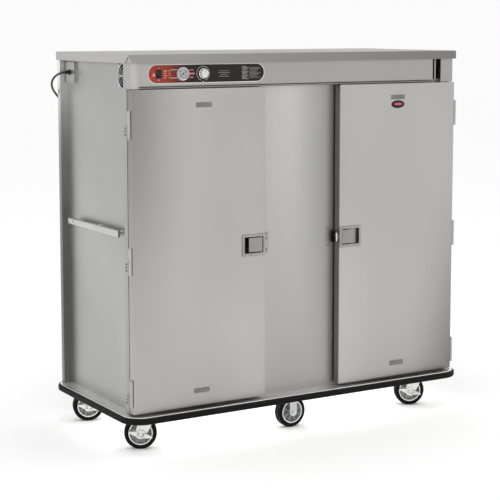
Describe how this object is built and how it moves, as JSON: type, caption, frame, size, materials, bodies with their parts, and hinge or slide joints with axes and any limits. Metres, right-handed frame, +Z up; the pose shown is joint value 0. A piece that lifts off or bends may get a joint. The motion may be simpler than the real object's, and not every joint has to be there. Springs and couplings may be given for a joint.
{
  "type": "enclosed meal tray cart",
  "caption": "Heated enclosed meal cart: insulated stainless cabinet, two latched doors, control strip, full bumper, braked swivel casters and coiled mains cord.",
  "frame": {"origin": "on the floor under the middle of the bumper", "axes": "+X to the cart's right as its doors are faced, +Y to the back, +Z up"},
  "size_m": [1.9252, 1.071, 1.833],
  "materials": {
    "stainless_sheet": "satin, fine horizontal grain",
    "bright_steel": "bright polished",
    "polished_rail": "bright extruded",
    "dark_steel": "satin",
    "zinc_plate": "bright zinc plate",
    "galvanised": "spangled galvanised",
    "foam": "rigid foam",
    "bumper_vinyl": "satin black",
    "black_rubber": "matt black",
    "black_plastic": "fine matt",
    "red_plastic": "gloss",
    "overlay_film": "printed film, red fading to black",
    "grey_core": "cast, satin",
    "black_tyre": "matt"
  },
  "bodies": {
    "cabinet": {"base_frame": "dark_steel", "bumper": "bumper_vinyl", "bumper_rail": "polished_rail", "side_panels": "stainless_sheet", "back_panel": "stainless_sheet", "top_cover": "stainless_sheet", "cabinet_frame": "stainless_sheet", "centre_panel": "stainless_sheet", "control_fascia": "stainless_sheet", "liner": "stainless_sheet", "insulation": "foam", "shelves": "stainless_sheet", "control_overlay": "overlay_film", "panel_fittings": "black_plastic", "push_handles": "bright_steel", "fan_frame": "black_plastic", "frame_hardware": "bright_steel", "heater_unit": "galvanised", "strain_relief": "black_plastic", "cord": "black_rubber", "cord_coil": "black_rubber", "plug": "black_rubber", "caster_mounts": "zinc_plate"},
    "left_door": {"left_door_shell": "stainless_sheet", "left_door_liner": "stainless_sheet", "left_door_gasket": "black_rubber", "left_door_hinges": "bright_steel", "left_latch_pan": "bright_steel"},
    "left_latch": {"left_paddle": "bright_steel"},
    "right_door": {"right_door_shell": "stainless_sheet", "right_door_liner": "stainless_sheet", "right_door_gasket": "black_rubber", "right_door_hinges": "bright_steel", "right_latch_pan": "bright_steel"},
    "right_latch": {"right_paddle": "bright_steel"},
    "switch": {"switch_rocker": "black_plastic"},
    "needle": {"thermometer_needle": "red_plastic"},
    "knob": {"thermostat_knob": "bright_steel"},
    "blower": {"blower_wheel": "galvanised"},
    "bay_fan": {"fan_rotor": "black_plastic"},
    "swivel_front_left": {"fork_front_left": "zinc_plate"},
    "pedal_front_left": {"brake_front_left": "bright_steel"},
    "swivel_front_right": {"fork_front_right": "zinc_plate"},
    "pedal_front_right": {"brake_front_right": "bright_steel"},
    "swivel_rear_left": {"fork_rear_left": "zinc_plate"},
    "pedal_rear_left": {"brake_rear_left": "bright_steel"},
    "swivel_rear_right": {"fork_rear_right": "zinc_plate"},
    "pedal_rear_right": {"brake_rear_right": "bright_steel"},
    "wheel_front_left": {"core_front_left": "grey_core", "tyre_front_left": "black_tyre"},
    "wheel_front_right": {"core_front_right": "grey_core", "tyre_front_right": "black_tyre"},
    "wheel_rear_left": {"core_rear_left": "grey_core", "tyre_rear_left": "black_tyre"},
    "wheel_rear_right": {"core_rear_right": "grey_core", "tyre_rear_right": "black_tyre"},
    "wheel_front_middle": {"core_front_middle": "grey_core", "tyre_front_middle": "black_tyre"},
    "wheel_rear_middle": {"core_rear_middle": "grey_core", "tyre_rear_middle": "black_tyre"}
  },
  "joints": [
    {"name": "left_door_swing", "type": "hinge", "parent": "cabinet", "child": "left_door", "pos_m": [-0.9235, -0.387, 0.9], "axis": [0, 0, -1], "range_deg": [0, 235]},
    {"name": "left_latch_pull", "type": "hinge", "parent": "left_door", "child": "left_latch", "pos_m": [-0.232, -0.392, 0.93], "axis": [0, 0, 1], "range_deg": [0, 30], "stiffness_Nm_per_rad": 0.35, "springref_deg": -14.32},
    {"name": "right_door_swing", "type": "hinge", "parent": "cabinet", "child": "right_door", "pos_m": [0.9235, -0.387, 0.9], "axis": [0, 0, 1], "range_deg": [0, 235]},
    {"name": "right_latch_pull", "type": "hinge", "parent": "right_door", "child": "right_latch", "pos_m": [0.232, -0.392, 0.93], "axis": [0, 0, -1], "range_deg": [0, 30], "stiffness_Nm_per_rad": 0.35, "springref_deg": -14.32},
    {"name": "switch_rock", "type": "hinge", "parent": "cabinet", "child": "switch", "pos_m": [-0.766, -0.3725, 1.742], "axis": [1, 0, 0], "range_deg": [0, 16]},
    {"name": "thermostat_turn", "type": "hinge", "parent": "cabinet", "child": "knob", "pos_m": [-0.537, -0.3765, 1.742], "axis": [0, 1, 0], "range_deg": [0, 300]},
    {"name": "thermometer_needle_turn", "type": "hinge", "parent": "cabinet", "child": "needle", "pos_m": [-0.643, -0.3775, 1.742], "axis": [0, 1, 0], "range_deg": [0, 270]},
    {"name": "blower_spin", "type": "hinge", "parent": "cabinet", "child": "blower", "pos_m": [0, 0.04, 1.72], "axis": [0, 0, 1], "continuous": true},
    {"name": "bay_fan_spin", "type": "hinge", "parent": "cabinet", "child": "bay_fan", "pos_m": [-0.8665, -0.2535, 1.732], "axis": [1, 0, 0], "continuous": true},
    {"name": "swivel_front_left_turn", "type": "hinge", "parent": "cabinet", "child": "swivel_front_left", "pos_m": [-0.78, -0.302, 0.16], "axis": [0, 0, 1], "continuous": true},
    {"name": "wheel_front_left_roll", "type": "hinge", "parent": "swivel_front_left", "child": "wheel_front_left", "pos_m": [-0.82494, -0.28008, 0.0762], "axis": [0.4384, 0.8988, 0], "continuous": true},
    {"name": "brake_front_left_press", "type": "hinge", "parent": "swivel_front_left", "child": "pedal_front_left", "pos_m": [-0.82494, -0.28008, 0.0762], "axis": [-0.4384, -0.8988, 0], "range_deg": [0, 28]},
    {"name": "swivel_front_right_turn", "type": "hinge", "parent": "cabinet", "child": "swivel_front_right", "pos_m": [0.78, -0.302, 0.16], "axis": [0, 0, 1], "continuous": true},
    {"name": "wheel_front_right_roll", "type": "hinge", "parent": "swivel_front_right", "child": "wheel_front_right", "pos_m": [0.73397, -0.28246, 0.0762], "axis": [0.3907, 0.9205, 0], "continuous": true},
    {"name": "brake_front_right_press", "type": "hinge", "parent": "swivel_front_right", "child": "pedal_front_right", "pos_m": [0.73397, -0.28246, 0.0762], "axis": [-0.3907, -0.9205, 0], "range_deg": [0, 28]},
    {"name": "swivel_rear_left_turn", "type": "hinge", "parent": "cabinet", "child": "swivel_rear_left", "pos_m": [-0.78, 0.278, 0.16], "axis": [0, 0, 1], "continuous": true},
    {"name": "wheel_rear_left_roll", "type": "hinge", "parent": "swivel_rear_left", "child": "wheel_rear_left", "pos_m": [-0.82782, 0.29262, 0.0762], "axis": [0.2924, 0.9563, 0], "continuous": true},
    {"name": "brake_rear_left_press", "type": "hinge", "parent": "swivel_rear_left", "child": "pedal_rear_left", "pos_m": [-0.82782, 0.29262, 0.0762], "axis": [-0.2924, -0.9563, 0], "range_deg": [0, 28]},
    {"name": "swivel_rear_right_turn", "type": "hinge", "parent": "cabinet", "child": "swivel_rear_right", "pos_m": [0.78, 0.278, 0.16], "axis": [0, 0, 1], "continuous": true},
    {"name": "wheel_rear_right_roll", "type": "hinge", "parent": "swivel_rear_right", "child": "wheel_rear_right", "pos_m": [0.73302, 0.2951, 0.0762], "axis": [0.342, 0.9397, 0], "continuous": true},
    {"name": "brake_rear_right_press", "type": "hinge", "parent": "swivel_rear_right", "child": "pedal_rear_right", "pos_m": [0.73302, 0.2951, 0.0762], "axis": [-0.342, -0.9397, 0], "range_deg": [0, 28]},
    {"name": "wheel_front_middle_roll", "type": "hinge", "parent": "cabinet", "child": "wheel_front_middle", "pos_m": [-0.025, -0.321, 0.0762], "axis": [0, 1, 0], "continuous": true},
    {"name": "wheel_rear_middle_roll", "type": "hinge", "parent": "cabinet", "child": "wheel_rear_middle", "pos_m": [-0.025, 0.297, 0.0762], "axis": [0, 1, 0], "continuous": true}
  ]
}
